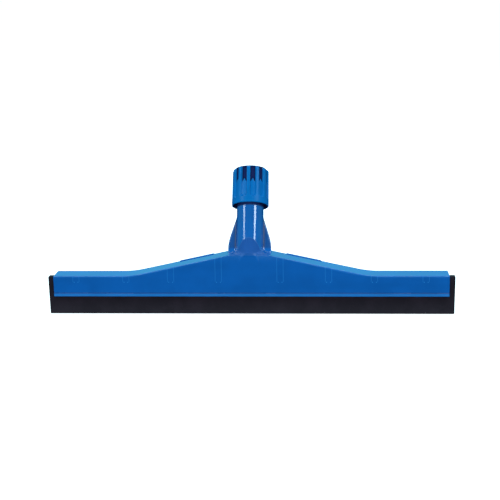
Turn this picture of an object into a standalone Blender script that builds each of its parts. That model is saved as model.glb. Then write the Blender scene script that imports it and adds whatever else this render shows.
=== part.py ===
"""Floor squeegee head, 450 mm, for a 22 to 24 mm round handle. Metres, +Z up.

X runs along the blade, -Y is the front and Z is up. The origin is the middle of the front blade strip's
bottom face. The blue frame is a front wall, a sloping top ledge and the root of the neck. The handle socket
leans back from that root, on its base with two gussets. The real ones are moulded in one with the frame. Here
they are nodes of their own, a gap apart, so that the bore stays open in the collision model. A rear clamp
plate snaps into the frame and traps two foam strips with a stiff spine between them. A collar on the socket's
thread drives a split ring down its cone, and the ring grips the handle.
"""

import math

import bmesh
import bpy
from mathutils import Matrix, Vector

GAP = 0.0003  # between pieces that touch

# Blades
BLADE_HALF = 0.225
BLADE_EDGE_HALF = 0.2246
BLADE_TOP = 0.0405
BLADE_WIDEST_FROM = 0.033
BLADE_CORNER = 0.0015
REAR_BLADE_TOP = 0.0393
END_TOP = 0.0427  # the front strip swells up to this past the ends of the body that clamps it
END_FROM = 0.2189
BLADE_DEPTH = 0.0079
SPINE_HALF = 0.216
SPINE_BOTTOM = 0.022
SPINE_DEPTH = 0.003
SPINE_EDGE = 0.0008

# Body, as seen from the front
BODY_HALF = 0.2185
BODY_BOTTOM = 0.0208
SHOULDER = 0.0437
KNEE_X = 0.1313
KNEE_RADIUS = 0.11
SLOPE = math.radians(12.2)
CROWN_HALF = 0.023
WALL = 0.0025
LIP_HEIGHT = 0.0038
LIP_PROUD = 0.001
RIM_WIDTH = 0.0021
EDGE_RADIUS = 0.0015

# Depths, front to back
FRONT_INNER = -BLADE_DEPTH / 2 - GAP
FRONT_FACE = FRONT_INNER - WALL
LIP_FACE = FRONT_FACE - LIP_PROUD
SPINE_Y = BLADE_DEPTH / 2 + GAP + SPINE_DEPTH / 2
REAR_BLADE_Y = 2 * SPINE_Y
REAR_INNER = REAR_BLADE_Y + BLADE_DEPTH / 2 + GAP
REAR_FACE = REAR_INNER + WALL
LEDGE_BACK = REAR_INNER - GAP

# Stations where the rear plate snaps into the frame
STATIONS = (0.034, 0.087, 0.137, 0.193)
RIB_SPACING = 0.007
RIB_WIDTH = 0.0012
RIB_BOTTOM = 0.0367
NOTCH_WIDTH = 0.0095
NOTCH_BOTTOM = 0.035
TONGUE_WIDTH = 0.0052
TONGUE_BOTTOM = 0.0356
TONGUE_TOP = 0.0382
HOOK_TOP = 0.0399
HOOK_DEPTH = 0.0015
CATCH_DEPTH = 0.0015

# Raised edge of the rear plate, on each slope
TAB_FROM = 0.0395
TAB_TO = 0.08
TAB_RISE = 0.0008
NOTCH_HALF = 0.017  # room in the rear plate's top edge for the neck

# Neck: places along it are measured from its foot, up the axis
LEAN = math.radians(27)
NECK_FOOT = Vector((0, 0.010022, 0.070535))
NECK_RADIUS = 0.0149
NECK_ROOT = -0.020
BASE_FOOT = 0.003  # where the frame's neck root ends; the socket's base starts a gap above it
BASE_TOP = 0.038  # where the base ends; the handle socket starts a gap above it
NECK_MOUTH = 0.0745
BORE_RADIUS = 0.0121
BORE_BOTTOM = 0.006
GUSSET_DEPTH = 0.004
GUSSET_HALF = 0.0239
GUSSET_TAPER = ((0.0232, 0.0089), (0.0205, 0.0184), (0.0155, 0.0339))  # half-width and place of each bend
GUSSET_TOP = 0.0369
KEYWAY_WIDTH = 0.0028
KEYWAY_BOTTOM = 0.065

# Thread of neck and collar
PITCH = 0.004
NECK_THREAD_START = 0.054
NECK_THREAD_TURNS = 4
NECK_THREAD_RADIUS = 0.016
NECK_THREAD_WIDTHS = (0.0020, 0.0011)  # at its root and at its tip
COLLAR_THREAD_START = NECK_THREAD_START + PITCH / 2
COLLAR_THREAD_TURNS = 2.5
COLLAR_THREAD_RADIUS = 0.0153
COLLAR_THREAD_WIDTHS = (0.0016, 0.0009)

# Collar
COLLAR_BOTTOM = 0.049
COLLAR_TOP = 0.0915
COLLAR_RADIUS = 0.02055
COLLAR_TOP_RADIUS = 0.0202
COLLAR_BORE = 0.0166
COLLAR_EDGE = 0.0005
SKIRT_BORE = 0.0190
SKIRT_STEP = 0.053
SKIRT_TOP = 0.0547
FLUTE_FLOOR = 0.0185
FLUTE_BOTTOM = 0.0565
FLUTE_TOP = 0.0715
POCKET_FLOOR = 0.0158
POCKET_BOTTOM = 0.079
TOP_RING = 0.0175
TOP_RING_HEIGHT = 0.0015
TOP_RING_EDGE = 0.0004
MOUTH_RADIUS = 0.0129
BORE_TOP = 0.072
SEAT_BOTTOM = 0.078
SEAT_TOP = 0.088
SEAT_RADIUS = 0.0142
RIB_COUNT = 12
GRIP_RIB_WIDTH = 0.003
RIB_OFFSET = math.radians(-3.5)
RIB_SECTION = (  # radius and place, from the rib's foot outwards and up
    (0.0175, 0.0545),
    (COLLAR_RADIUS, 0.0545),
    (COLLAR_TOP_RADIUS, 0.0885),
    (0.0187, 0.0903),
    (0.0150, 0.0903),
    (0.0150, POCKET_BOTTOM),
    (0.0172, 0.0725),
)

# Grip ring
RING_BOTTOM = NECK_MOUTH + GAP
RING_TOP = 0.0875
RING_BORE = 0.0117
RING_SLIT = 0.0016
RING_EDGE = 0.0003
KEY_WIDTH = 0.0022
KEY_INNER = 0.0125
KEY_OUTER = 0.0141
KEY_BOTTOM = 0.066
KEY_TOP = 0.0765

ROUND_STEPS = 48
ARC_STEPS = 6

NECK = Matrix.Translation(NECK_FOOT) @ Matrix.Rotation(-LEAN, 4, "X")


# ---- scene and helpers ----


def clear_scene():
    for old in list(bpy.data.objects):
        bpy.data.objects.remove(old, do_unlink=True)


def new_collection(name):
    made = bpy.data.collections.new(name)
    bpy.context.scene.collection.children.link(made)
    return made


def make_material(name, colour, roughness):
    made = bpy.data.materials.new(name)
    made.use_nodes = True
    shader = made.node_tree.nodes["Principled BSDF"]
    shader.inputs["Base Color"].default_value = (*colour, 1)
    shader.inputs["Roughness"].default_value = roughness
    shader.inputs["Metallic"].default_value = 0
    made.diffuse_color = (*colour, 1)
    return made


clear_scene()
PARTS = new_collection("floor_squeegee_head")
TOOLS = new_collection("cutters")
BLUE = (0.007, 0.095, 0.40)
COLLAR_BLUE = (0.004, 0.16, 0.55)
FOAM = (0.018, 0.016, 0.020)


def from_bmesh(name, bm, collection):
    bmesh.ops.recalc_face_normals(bm, faces=bm.faces)
    mesh = bpy.data.meshes.new(name)
    bm.to_mesh(mesh)
    bm.free()
    made = bpy.data.objects.new(name, mesh)
    collection.objects.link(made)
    if collection is TOOLS:
        made.hide_render = True
        made.display_type = "WIRE"
    return made


def to_solid(curve_object, name, collection):
    """The curve or modified object as a mesh of its own, with loose caps welded and open ends filled."""
    bpy.context.view_layer.update()
    graph = bpy.context.evaluated_depsgraph_get()
    mesh = bpy.data.meshes.new_from_object(curve_object.evaluated_get(graph))
    matrix = curve_object.matrix_world.copy()
    bpy.data.objects.remove(curve_object, do_unlink=True)
    bm = bmesh.new()
    bm.from_mesh(mesh)
    bmesh.ops.remove_doubles(bm, verts=bm.verts, dist=1e-6)
    bmesh.ops.holes_fill(bm, edges=[edge for edge in bm.edges if edge.is_boundary], sides=0)
    made = from_bmesh(name, bm, collection)
    made.matrix_world = matrix
    return made


def slab(name, outline, low, high, collection, plane=None):
    """An outline in X and Z, filled and extruded between two depths in Y, or on another plane."""
    curve = bpy.data.curves.new(name, "CURVE")
    curve.dimensions = "2D"
    curve.fill_mode = "BOTH"
    curve.extrude = (high - low) / 2
    spline = curve.splines.new("POLY")
    spline.points.add(len(outline) - 1)
    for point, (x, z) in zip(spline.points, outline):
        point.co = (x, z, 0, 1)
    spline.use_cyclic_u = True
    drawn = bpy.data.objects.new(name, curve)
    PARTS.objects.link(drawn)
    upright = Matrix.Translation((0, (low + high) / 2, 0)) @ Matrix.Rotation(math.pi / 2, 4, "X")
    drawn.matrix_world = (plane or Matrix.Identity(4)) @ upright
    return to_solid(drawn, name, collection)


def boxes(name, corners, collection, plane=None):
    """Closed boxes in one mesh, each from its low and high corner."""
    bm = bmesh.new()
    for low, high in corners:
        low, high = Vector(low), Vector(high)
        size = Matrix.Diagonal((high - low).to_4d())
        size[3][3] = 1
        bmesh.ops.create_cube(bm, size=1, matrix=Matrix.Translation((low + high) / 2) @ size)
    made = from_bmesh(name, bm, collection)
    made.matrix_world = plane or Matrix.Identity(4)
    return made


def turned(name, profile, collection, closed=False):
    """A profile of (radius, place along the neck), outer side first, turned on the neck's axis."""
    mesh = bpy.data.meshes.new(name)
    edges = [(i, i + 1) for i in range(len(profile) - 1)]
    if closed:
        edges.append((len(profile) - 1, 0))
    mesh.from_pydata([(radius, 0, place) for radius, place in profile], edges, [])
    made = bpy.data.objects.new(name, mesh)
    collection.objects.link(made)
    made.matrix_world = NECK
    screw = made.modifiers.new("turn", "SCREW")
    screw.steps = screw.render_steps = ROUND_STEPS
    screw.use_merge_vertices = True
    screw.merge_threshold = 1e-5
    return to_solid(made, name, collection)


def thread(name, root, tip, start, turns, widths):
    """A helical ridge on the neck's axis, rising by the pitch each turn, with flat ends."""
    root_width, tip_width = widths
    section = [(root, root_width / 2), (tip, tip_width / 2), (tip, -tip_width / 2), (root, -root_width / 2)]
    mesh = bpy.data.meshes.new(name)
    mesh.from_pydata([(r, 0, start + s) for r, s in section], [(0, 1), (1, 2), (2, 3), (3, 0)], [])
    made = bpy.data.objects.new(name, mesh)
    TOOLS.objects.link(made)
    made.matrix_world = NECK
    screw = made.modifiers.new("helix", "SCREW")
    screw.angle = 2 * math.pi * turns
    screw.screw_offset = PITCH * turns
    screw.steps = screw.render_steps = int(36 * turns)
    return to_solid(made, name, TOOLS)


def boolean(target, tool, operation):
    step = target.modifiers.new(f"{operation.lower()} {tool.name}", "BOOLEAN")
    step.operation = operation
    step.object = tool
    step.solver = "EXACT"


def round_edges(target, chosen, radius, segments=2):
    """Rounds the sharp edges whose two ends both pass the test."""
    bm = bmesh.new()
    bm.from_mesh(target.data)
    sharp = [edge for edge in bm.edges if edge.calc_face_angle(0) > 0.5]
    edges = [edge for edge in sharp if all(chosen(target.matrix_world @ v.co) for v in edge.verts)]
    bmesh.ops.bevel(bm, geom=edges, offset=radius, segments=segments, profile=0.5, affect="EDGES")
    bmesh.ops.triangulate(bm, faces=bm.faces)
    bm.to_mesh(target.data)
    bm.free()


def finish_part(part, material):
    part.data.materials.clear()
    part.data.materials.append(material)
    part.data.shade_smooth()
    part.data.set_sharp_from_angle(angle=math.radians(35))


# ---- outlines ----


def ledge_height(x):
    """Height of the ledge's top face: level ends, a curved knee, a straight slope and a crown at the neck."""
    x = abs(x)
    tangent = KNEE_RADIUS * math.tan(SLOPE / 2)
    if x >= KNEE_X + tangent:
        return SHOULDER
    if x > KNEE_X - tangent * math.cos(SLOPE):
        return SHOULDER + KNEE_RADIUS - math.sqrt(KNEE_RADIUS**2 - (x - KNEE_X - tangent) ** 2)
    if x >= CROWN_HALF:
        return SHOULDER + (KNEE_X - x) * math.tan(SLOPE)
    crown_radius = CROWN_HALF / math.sin(SLOPE)
    crown_centre = ledge_height(CROWN_HALF) - crown_radius * math.cos(SLOPE)
    return crown_centre + math.sqrt(crown_radius**2 - x**2)


def body_outline(half, bottom, drop=0.0, tabs=False):
    """The body from the front, with its top lowered by a drop. Tabs raises two stretches of its top edge."""
    tangent = KNEE_RADIUS * math.tan(SLOPE / 2)
    knee_from, knee_to = KNEE_X + tangent, KNEE_X - tangent * math.cos(SLOPE)
    right = [(half, 0.0)]
    right += [(knee_from + (knee_to - knee_from) * i / ARC_STEPS, 0.0) for i in range(ARC_STEPS + 1)]
    if tabs:
        right += [(TAB_TO, 0.0), (TAB_TO - TAB_RISE, TAB_RISE)]
        right += [(TAB_FROM + TAB_RISE, TAB_RISE), (TAB_FROM, 0.0)]
    right += [(CROWN_HALF * (1 - i / ARC_STEPS), 0.0) for i in range(ARC_STEPS)]
    top = [(x, ledge_height(x) + rise - drop) for x, rise in right]
    middle = [(0, ledge_height(0) - drop)]
    left = [(-x, z) for x, z in reversed(top)]
    return [(half, bottom), *top, *middle, *left, (-half, bottom)]


def blade_outline(top, end_top):
    """A foam strip from the front: its ends lean in towards the free edge, and may swell up past the body."""
    right = [
        (BLADE_EDGE_HALF, 0),
        (BLADE_HALF, BLADE_WIDEST_FROM),
        (BLADE_HALF, end_top - BLADE_CORNER),
        (BLADE_HALF - BLADE_CORNER, end_top),
    ]
    if end_top > top:
        right += [(END_FROM, end_top), (END_FROM, top)]
    return right + [(-x, z) for x, z in reversed(right)]


def stations():
    return [side * x for x in STATIONS for side in (-1, 1)]


def notches():
    """Cutter for the slots in strips and spine that the ribs and tongues pass through."""
    half = NOTCH_WIDTH / 2
    corners = [((x - half, -0.03, NOTCH_BOTTOM), (x + half, 0.04, 0.05)) for x in stations()]
    return boxes("notch_cutter", corners, TOOLS)


# ---- pieces ----


def make_blades():
    cutter = notches()
    front = ("front_blade_strip", 0.0, blade_outline(BLADE_TOP, END_TOP))
    rear = ("rear_blade_strip", REAR_BLADE_Y, blade_outline(REAR_BLADE_TOP, REAR_BLADE_TOP))
    for name, middle, outline in (front, rear):
        strip = slab(name, outline, middle - BLADE_DEPTH / 2, middle + BLADE_DEPTH / 2, PARTS)
        boolean(strip, cutter, "DIFFERENCE")
        finish_part(strip, make_material(name, FOAM, 0.9))
    low = (-SPINE_HALF, SPINE_Y - SPINE_DEPTH / 2, SPINE_BOTTOM)
    high = (SPINE_HALF, SPINE_Y + SPINE_DEPTH / 2, BLADE_TOP - GAP)
    spine = boxes("blade_spine", [(low, high)], PARTS)
    round_edges(spine, lambda p: p.z < SPINE_BOTTOM + 1e-5, SPINE_EDGE)
    boolean(spine, cutter, "DIFFERENCE")
    finish_part(spine, make_material("blade_spine", BLUE, 0.4))


def snap_ribs():
    """At each station: two ribs across the channel, and the bar between them that the hook catches."""
    corners = []
    for x in stations():
        top = ledge_height(x) - WALL / 2
        for side in (-1, 1):
            rib = x + side * RIB_SPACING / 2
            low = (rib - RIB_WIDTH / 2, FRONT_INNER - WALL / 5, RIB_BOTTOM)
            corners.append((low, (rib + RIB_WIDTH / 2, LEDGE_BACK - GAP, top)))
    ribs = boxes("snap_ribs", corners, TOOLS)
    corners = []
    for x in stations():
        front = FRONT_INNER + 2 * GAP + HOOK_DEPTH + GAP
        low = (x - RIB_SPACING / 2, front, TONGUE_TOP + GAP)
        high = (x + RIB_SPACING / 2, front + CATCH_DEPTH, ledge_height(x) - WALL / 2)
        corners.append((low, high))
    return ribs, boxes("catch_bars", corners, TOOLS)


def add_gussets(neck, outline):
    """Joins both side gussets to a length of the neck. The outline is half-width and place along the neck."""
    half = GUSSET_DEPTH / 2
    for side in (-1, 1):
        mirrored = [(side * x, s) for x, s in outline]
        plate = slab(f"{neck.name}_gusset_{side}", mirrored, -half, half, TOOLS, plane=NECK)
        boolean(neck, plate, "UNION")


def trim_front(neck):
    """Cuts a length of the neck back to the frame's front face."""
    front = boxes(f"{neck.name}_trim", [((-0.03, -0.05, 0.03), (0.03, FRONT_FACE, 0.09))], TOOLS)
    boolean(neck, front, "DIFFERENCE")


def make_neck_root():
    """The solid foot of the neck, which belongs to the frame, with the foot of each gusset."""
    profile = [(0, BASE_FOOT), (NECK_RADIUS, BASE_FOOT), (NECK_RADIUS, NECK_ROOT), (0, NECK_ROOT)]
    root = turned("neck_root", profile, TOOLS)
    inner = (BORE_RADIUS + NECK_RADIUS) / 2
    outline = [(inner, NECK_ROOT), (GUSSET_HALF, NECK_ROOT), (GUSSET_HALF, BASE_FOOT), (inner, BASE_FOOT)]
    add_gussets(root, outline)
    trim_front(root)
    return root


def make_socket_base():
    """The lower length of the tube that the handle goes into, with its floor and two gussets."""
    foot = BASE_FOOT + GAP
    profile = [
        (0, BORE_BOTTOM),
        (BORE_RADIUS, BORE_BOTTOM),
        (BORE_RADIUS, BASE_TOP),
        (NECK_RADIUS, BASE_TOP),
        (NECK_RADIUS, foot),
        (0, foot),
    ]
    base = turned("socket_base", profile, PARTS)
    inner = (BORE_RADIUS + NECK_RADIUS) / 2
    add_gussets(base, [(inner, foot), (GUSSET_HALF, foot), *GUSSET_TAPER, (inner, GUSSET_TOP)])
    trim_front(base)
    finish_part(base, make_material("socket_base", BLUE, 0.3))


def make_handle_socket():
    """The upper length of the tube, with its thread and the two keyways in its mouth."""
    foot = BASE_TOP + GAP
    profile = [(BORE_RADIUS, foot), (BORE_RADIUS, NECK_MOUTH), (NECK_RADIUS, NECK_MOUTH), (NECK_RADIUS, foot)]
    socket = turned("handle_socket", profile, PARTS, closed=True)
    start, turns = NECK_THREAD_START, NECK_THREAD_TURNS
    ridge = thread("neck_thread", NECK_RADIUS - 2 * GAP, NECK_THREAD_RADIUS, start, turns, NECK_THREAD_WIDTHS)
    boolean(socket, ridge, "UNION")
    half = KEYWAY_WIDTH / 2
    keyways = boxes("keyway_cutter", [((-0.03, -half, KEYWAY_BOTTOM), (0.03, half, 0.1))], TOOLS, plane=NECK)
    boolean(socket, keyways, "DIFFERENCE")
    finish_part(socket, make_material("handle_socket", BLUE, 0.3))


def make_frame():
    frame = slab("frame", body_outline(BODY_HALF, BODY_BOTTOM), LIP_FACE, LEDGE_BACK, PARTS)

    def on_front_top(p):
        return p.y < LIP_FACE + 1e-5 and p.z > ledge_height(p.x) - 1e-5

    round_edges(frame, on_front_top, LIP_PROUD + EDGE_RADIUS)
    panel_half = BODY_HALF - RIM_WIDTH
    panel_bottom = BODY_BOTTOM + LIP_HEIGHT
    low, high = (-panel_half, -0.03, panel_bottom), (panel_half, FRONT_FACE, 0.1)
    panel = boxes("panel_cutter", [(low, high)], TOOLS)
    boolean(frame, panel, "DIFFERENCE")
    boolean(frame, make_neck_root(), "UNION")
    cavity = slab("cavity_cutter", body_outline(0.24, 0.0, drop=WALL), FRONT_INNER, 0.06, TOOLS)
    boolean(frame, cavity, "DIFFERENCE")
    for ribs in snap_ribs():
        boolean(frame, ribs, "UNION")
    finish_part(frame, make_material("frame", BLUE, 0.3))


def make_rear_plate():
    outline = body_outline(BODY_HALF, BODY_BOTTOM, tabs=True)
    plate = slab("rear_clamp_plate", outline, REAR_INNER, REAR_FACE, PARTS)
    floor = ledge_height(NOTCH_HALF) - WALL - 2 * GAP
    notch = boxes("neck_notch", [((-NOTCH_HALF, 0, floor), (NOTCH_HALF, 0.04, 0.1))], TOOLS)
    boolean(plate, notch, "DIFFERENCE")
    lip_low = (-BODY_HALF, REAR_FACE - GAP, BODY_BOTTOM)
    lip = boxes("rear_lip", [(lip_low, (BODY_HALF, REAR_FACE + LIP_PROUD, BODY_BOTTOM + LIP_HEIGHT))], TOOLS)
    boolean(plate, lip, "UNION")
    half = TONGUE_WIDTH / 2
    tip = FRONT_INNER + 2 * GAP
    root = REAR_INNER + WALL / 5
    tongues = [((x - half, tip, TONGUE_BOTTOM), (x + half, root, TONGUE_TOP)) for x in stations()]
    boolean(plate, boxes("tongues", tongues, TOOLS), "UNION")
    hooks = [((x - half, tip, TONGUE_TOP - GAP), (x + half, tip + HOOK_DEPTH, HOOK_TOP)) for x in stations()]
    boolean(plate, boxes("hooks", hooks, TOOLS), "UNION")
    finish_part(plate, make_material("rear_clamp_plate", BLUE, 0.3))


def grip_ribs():
    """The collar's twelve grip ribs, in one mesh. Each stands on the core and has a chamfered top."""
    bm = bmesh.new()
    for i in range(RIB_COUNT):
        turn = RIB_OFFSET - math.pi / 2 + 2 * math.pi * i / RIB_COUNT
        place = Matrix.Rotation(turn, 4, "Z")
        sides = []
        for side in (-GRIP_RIB_WIDTH / 2, GRIP_RIB_WIDTH / 2):
            sides.append([bm.verts.new(place @ Vector((r, side, s))) for r, s in RIB_SECTION])
        bm.faces.new(sides[0])
        bm.faces.new(reversed(sides[1]))
        for j in range(len(RIB_SECTION)):
            k = (j + 1) % len(RIB_SECTION)
            bm.faces.new((sides[0][j], sides[1][j], sides[1][k], sides[0][k]))
    made = from_bmesh("grip_ribs", bm, TOOLS)
    made.matrix_world = NECK
    return made


def make_collar():
    ring_bottom = COLLAR_TOP - TOP_RING_HEIGHT
    profile = [
        (MOUTH_RADIUS + TOP_RING_EDGE, COLLAR_TOP),
        (TOP_RING - TOP_RING_EDGE, COLLAR_TOP),
        (TOP_RING, COLLAR_TOP - TOP_RING_EDGE),
        (TOP_RING, ring_bottom),
        (POCKET_FLOOR, ring_bottom),
        (POCKET_FLOOR, POCKET_BOTTOM),
        (FLUTE_FLOOR, FLUTE_TOP),
        (FLUTE_FLOOR, FLUTE_BOTTOM),
        (COLLAR_RADIUS, SKIRT_TOP),
        (COLLAR_RADIUS, COLLAR_BOTTOM + COLLAR_EDGE),
        (COLLAR_RADIUS - COLLAR_EDGE, COLLAR_BOTTOM),
        (SKIRT_BORE, COLLAR_BOTTOM),
        (SKIRT_BORE, SKIRT_STEP),
        (COLLAR_BORE, SKIRT_STEP),
        (COLLAR_BORE, BORE_TOP),
        (SEAT_RADIUS, SEAT_BOTTOM),
        (MOUTH_RADIUS, SEAT_TOP),
        (MOUTH_RADIUS, COLLAR_TOP - TOP_RING_EDGE),
    ]
    collar = turned("locking_collar", profile, PARTS, closed=True)
    boolean(collar, grip_ribs(), "UNION")
    start, turns, root = COLLAR_THREAD_START, COLLAR_THREAD_TURNS, COLLAR_BORE + 2 * GAP
    ridge = thread("collar_thread", root, COLLAR_THREAD_RADIUS, start, turns, COLLAR_THREAD_WIDTHS)
    boolean(collar, ridge, "UNION")
    finish_part(collar, make_material("locking_collar", COLLAR_BLUE, 0.25))


def make_grip_ring():
    seat_slope = (SEAT_RADIUS - MOUTH_RADIUS) / (SEAT_TOP - SEAT_BOTTOM)

    def cone(place):
        return SEAT_RADIUS - GAP - (place - SEAT_BOTTOM) * seat_slope

    profile = [
        (RING_BORE + RING_EDGE, RING_TOP),
        (cone(RING_TOP), RING_TOP),
        (cone(SEAT_BOTTOM), SEAT_BOTTOM - GAP),
        (cone(SEAT_BOTTOM) + GAP, RING_BOTTOM),
        (RING_BORE, RING_BOTTOM),
        (RING_BORE, RING_TOP - RING_EDGE),
    ]
    ring = turned("grip_ring", profile, PARTS, closed=True)
    half, key_half = RING_SLIT / 2, KEY_WIDTH / 2
    keys = []
    for x_low, x_high in ((-KEY_OUTER, -KEY_INNER), (KEY_INNER, KEY_OUTER)):
        keys.append(((x_low, -key_half, KEY_BOTTOM), (x_high, key_half, KEY_TOP)))
    boolean(ring, boxes("ring_keys", keys, TOOLS, plane=NECK), "UNION")
    slit = boxes("slit_cutter", [((-half, -0.03, 0.06), (half, 0, 0.1))], TOOLS, plane=NECK)
    boolean(ring, slit, "DIFFERENCE")
    finish_part(ring, make_material("grip_ring", (0.02, 0.02, 0.022), 0.5))


make_blades()
make_frame()
make_socket_base()
make_handle_socket()
make_rear_plate()
make_collar()
make_grip_ring()
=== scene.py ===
"""Looks of the floor squeegee head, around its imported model. Metres, +Z up, -Y is the front."""

import math

import bmesh
import bpy
import numpy as np
from mathutils import Matrix, Vector


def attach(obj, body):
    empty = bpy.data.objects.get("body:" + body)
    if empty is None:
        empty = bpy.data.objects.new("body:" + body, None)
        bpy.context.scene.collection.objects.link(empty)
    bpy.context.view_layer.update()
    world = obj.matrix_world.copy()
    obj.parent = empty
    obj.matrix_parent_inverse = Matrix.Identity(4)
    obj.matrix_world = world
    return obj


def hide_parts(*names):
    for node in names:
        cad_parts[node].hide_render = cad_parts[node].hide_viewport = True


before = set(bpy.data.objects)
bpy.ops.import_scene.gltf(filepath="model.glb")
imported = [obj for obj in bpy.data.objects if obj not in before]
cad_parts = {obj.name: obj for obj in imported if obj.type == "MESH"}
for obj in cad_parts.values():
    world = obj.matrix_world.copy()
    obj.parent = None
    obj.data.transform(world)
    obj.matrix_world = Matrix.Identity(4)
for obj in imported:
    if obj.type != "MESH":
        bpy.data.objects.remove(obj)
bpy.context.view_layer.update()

MM = 0.001

# ---- sizes shared with the model ----

GAP = 0.3 * MM
BLADE_HALF = 225 * MM
BLADE_EDGE_HALF = 224.6 * MM
BLADE_TOP = 40.5 * MM
REAR_BLADE_TOP = 39.3 * MM
END_TOP = 42.7 * MM
END_FROM = 218.9 * MM
BLADE_WIDEST_FROM = 33 * MM
BLADE_DEPTH = 7.9 * MM
NOTCH_WIDTH = 9.5 * MM
NOTCH_BOTTOM = 35 * MM

BODY_HALF = 218.5 * MM
BODY_BOTTOM = 20.8 * MM
SHOULDER = 43.7 * MM
KNEE_X = 131.3 * MM
KNEE_RADIUS = 110 * MM
SLOPE = math.radians(12.2)
CROWN_HALF = 23 * MM
WALL = 2.5 * MM
LIP_HEIGHT = 3.8 * MM
LIP_PROUD = 1 * MM
RIM_WIDTH = 2.1 * MM

FRONT_INNER = -BLADE_DEPTH / 2 - GAP
FRONT_FACE = FRONT_INNER - WALL
LIP_FACE = FRONT_FACE - LIP_PROUD
SPINE_DEPTH = 3 * MM
SPINE_Y = BLADE_DEPTH / 2 + GAP + SPINE_DEPTH / 2
REAR_BLADE_Y = 2 * SPINE_Y
REAR_INNER = REAR_BLADE_Y + BLADE_DEPTH / 2 + GAP
REAR_FACE = REAR_INNER + WALL
LEDGE_BACK = REAR_INNER - GAP

STATIONS = (34 * MM, 87 * MM, 137 * MM, 193 * MM)
RIB_SPACING = 7 * MM
RIB_WIDTH = 1.2 * MM
RIB_BOTTOM = 36.7 * MM
MARK_DEPTH = 0.05 * MM
MARK_WIDTH = 0.7 * MM
TONGUE_WIDTH = 5.2 * MM
TONGUE_BOTTOM = 35.6 * MM
TONGUE_TOP = 38.2 * MM
HOOK_TOP = 39.9 * MM
HOOK_DEPTH = 1.5 * MM
CATCH_DEPTH = 1.5 * MM

TAB_FROM = 39.5 * MM
TAB_TO = 80 * MM
TAB_RISE = 0.8 * MM
NOTCH_HALF = 17 * MM

LEAN = math.radians(27)
NECK_FOOT = Vector((0, 10.022 * MM, 70.535 * MM))
NECK_RADIUS = 14.9 * MM
NECK_ROOT = -20 * MM
NECK_MOUTH = 74.5 * MM
BORE_RADIUS = 12.1 * MM
BORE_BOTTOM = 6 * MM
GUSSET_DEPTH = 4 * MM
GUSSET_PLACES = (-20 * MM, 3 * MM, 8.9 * MM, 18.4 * MM, 33.9 * MM, 36.9 * MM, 40 * MM)
GUSSET_HALVES = (23.9 * MM, 23.9 * MM, 23.2 * MM, 20.5 * MM, 15.5 * MM, 13.6 * MM, 10 * MM)
GUSSET_END = 40 * MM
GUSSET_SMOOTHING = 1.2 * MM
FOOT_FILLET, SIDE_FILLET = 0.6 * MM, 4.4 * MM  # on the tube's front, and what its sides have besides
SIDE_FROM, SIDE_TO = 32, 58  # degrees round from the front
FRONT_BLEND = 7 * MM
LIP_LEAN = 0.24
KEYWAY_WIDTH = 2.8 * MM
KEYWAY_BOTTOM = 65 * MM

PITCH = 4 * MM
NECK_THREAD = (NECK_RADIUS - 2 * GAP, 16 * MM, 54 * MM, 4, 2.0 * MM)  # root, crest, start, turns and width
COLLAR_BORE = 16.6 * MM
COLLAR_THREAD = (COLLAR_BORE + 2 * GAP, 15.3 * MM, 56 * MM, 2.5, 1.6 * MM)
THREAD_STEPS = 72
THREAD_RISE = 14  # steps over which each end of a thread rises out of the wall

COLLAR_BOTTOM = 49 * MM
COLLAR_CROWN = 88.5 * MM
COLLAR_RADIUS = 20.55 * MM
COLLAR_TOP_RADIUS = 20.2 * MM
SKIRT_TOP = 54.7 * MM
FLUTE_BOTTOM = 55.6 * MM
FLUTE_CORNER = 3.4 * MM
FLUTE_DEPTH = 1.9 * MM
POCKET_FOOT = 70.5 * MM
POCKET_PEAK = 6 * MM
POCKET_DEPTH = 2.6 * MM
RIB_COUNT = 12
RIB_COLUMNS = 22
GRIP_RIB_WIDTH = 3 * MM
RIB_OFFSET = math.radians(-3.5)

RING_BOTTOM = NECK_MOUTH + GAP
RING_TOP = 87.5 * MM
RING_BORE = 11.7 * MM
RING_SLIT = 1.6 * MM
SEAT_BOTTOM = 78 * MM
SEAT_RADIUS = 14.2 * MM
SEAT_TOP = 88 * MM
MOUTH_RADIUS = 12.9 * MM
KEY_WIDTH = 2.2 * MM
KEY_INNER = 12.5 * MM
KEY_OUTER = 14.1 * MM
KEY_BOTTOM = 66 * MM
KEY_TOP = 76.5 * MM

NECK = Matrix.Translation(NECK_FOOT) @ Matrix.Rotation(-LEAN, 4, "X")


# ---- distance fields: negative inside, in metres ----


def sharper(a, b, r):
    """Both at once, with the edge between them rounded to radius r."""
    return np.minimum(np.maximum(a, b), -r) + np.hypot(np.maximum(a + r, 0), np.maximum(b + r, 0))


def joined(a, b, r):
    """Either of the two, with a fillet of radius r where they meet."""
    return np.maximum(np.minimum(a, b), r) - np.hypot(np.maximum(r - a, 0), np.maximum(r - b, 0))


def eased(a, b, width):
    """Both at once, for surfaces that meet at a shallow bend: they blend where they are that close."""
    near = np.maximum(width - np.abs(a - b), 0) / width
    return np.maximum(a, b) + near * near * width / 4


def step(x, low, high):
    t = np.clip((x - low) / (high - low), 0, 1)
    return t * t * (3 - 2 * t)


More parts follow.
